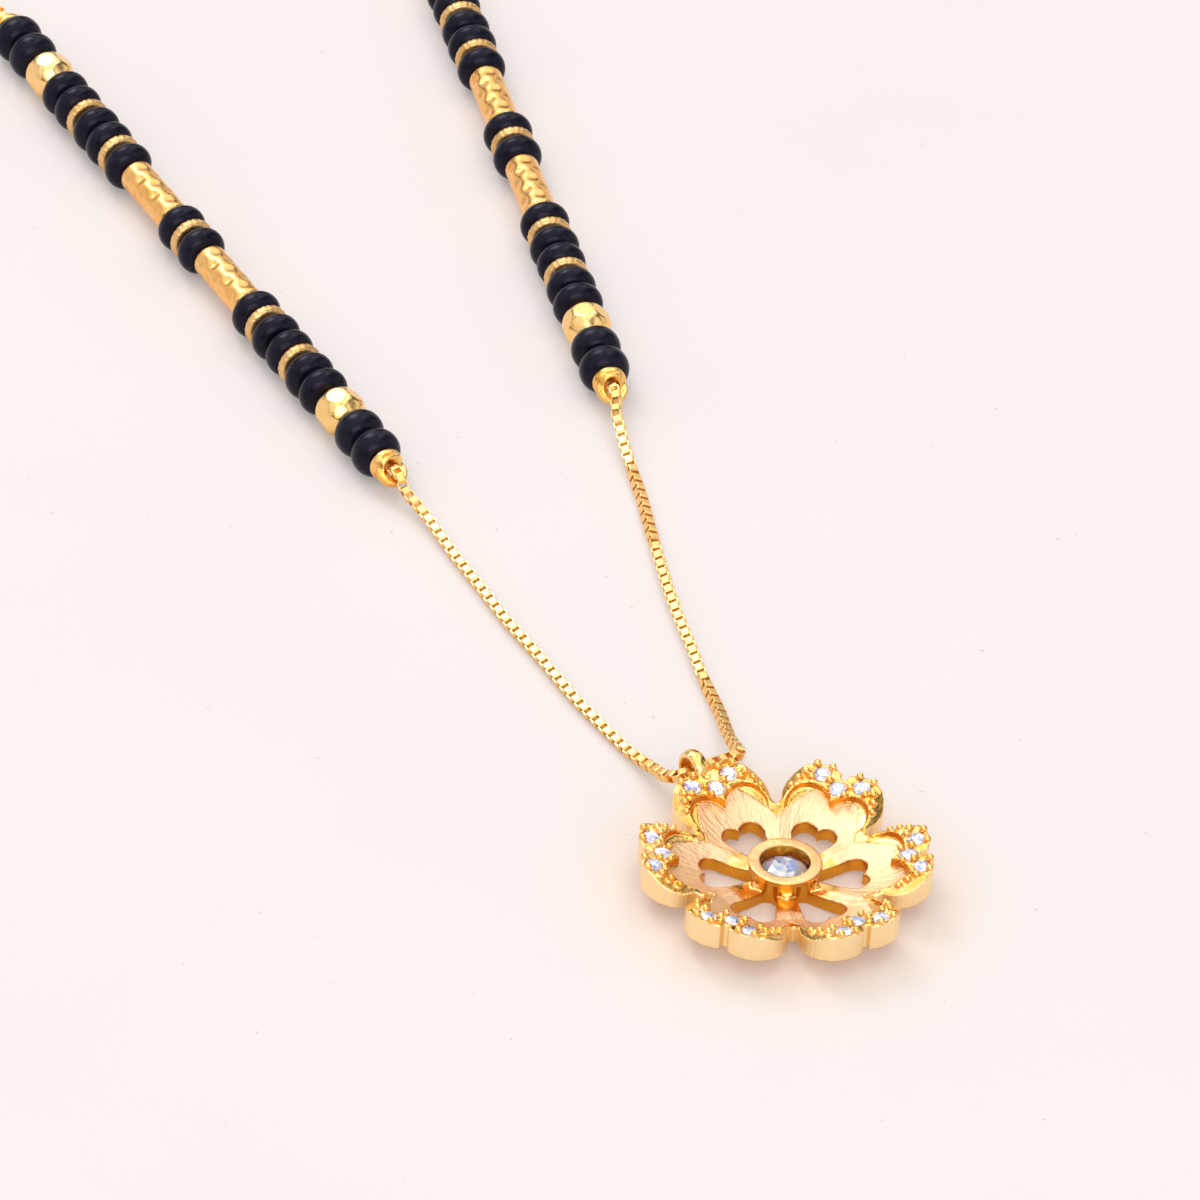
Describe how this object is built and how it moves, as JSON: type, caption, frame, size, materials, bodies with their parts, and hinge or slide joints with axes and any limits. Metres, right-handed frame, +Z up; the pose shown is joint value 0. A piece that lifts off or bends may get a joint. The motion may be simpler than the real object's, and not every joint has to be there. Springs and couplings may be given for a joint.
{
  "type": "mangalsutra necklace",
  "caption": "Mangalsutra laid flat: a six-petal flower pendant set with stones on a fine box chain, two strands of black beads with gold beads, and a plain chain behind the neck.",
  "frame": {"origin": "middle of the laid necklace's outline, on the surface it lies on", "axes": "+Z up from the surface, -Y toward the pendant and the viewer, +X to the viewer's right"},
  "size_m": [0.1078, 0.2, 0.0037],
  "materials": {
    "gold": "polished gold plate",
    "satin_gold": "satin gold plate with polished rims",
    "black_glass": "gloss black",
    "clear_stone": "clear cut stone"
  },
  "bodies": {
    "root": {"pendant_frame": "satin_gold", "centre_stone": "clear_stone", "petal_stone_1a": "clear_stone", "petal_stone_1b": "clear_stone", "petal_stone_1c": "clear_stone", "petal_stone_2a": "clear_stone", "petal_stone_2b": "clear_stone", "petal_stone_2c": "clear_stone", "petal_stone_3a": "clear_stone", "petal_stone_3b": "clear_stone", "petal_stone_3c": "clear_stone", "petal_stone_4a": "clear_stone", "petal_stone_4b": "clear_stone", "petal_stone_4c": "clear_stone", "petal_stone_5a": "clear_stone", "petal_stone_5b": "clear_stone", "petal_stone_5c": "clear_stone", "petal_stone_6a": "clear_stone", "petal_stone_6b": "clear_stone", "petal_stone_6c": "clear_stone", "left_black_beads": "black_glass", "right_black_beads": "black_glass", "left_ball_1": "gold", "left_ball_2": "gold", "right_ball_1": "gold", "right_ball_2": "gold", "left_tube_1": "gold", "left_tube_2": "gold", "right_tube_1": "gold", "right_tube_2": "gold", "left_spacer_1": "gold", "left_spacer_2": "gold", "left_spacer_3": "gold", "left_spacer_4": "gold", "left_spacer_5": "gold", "right_spacer_1": "gold", "right_spacer_2": "gold", "right_spacer_3": "gold", "right_spacer_4": "gold", "right_spacer_5": "gold", "left_thread": "gold", "right_thread": "gold", "left_front_eye": "gold", "left_back_eye": "gold", "right_front_eye": "gold", "right_back_eye": "gold", "front_chain": "gold", "left_back_chain": "gold", "right_back_chain": "gold", "clasp": "gold", "clasp_ring": "gold"}
  },
  "joints": []
}
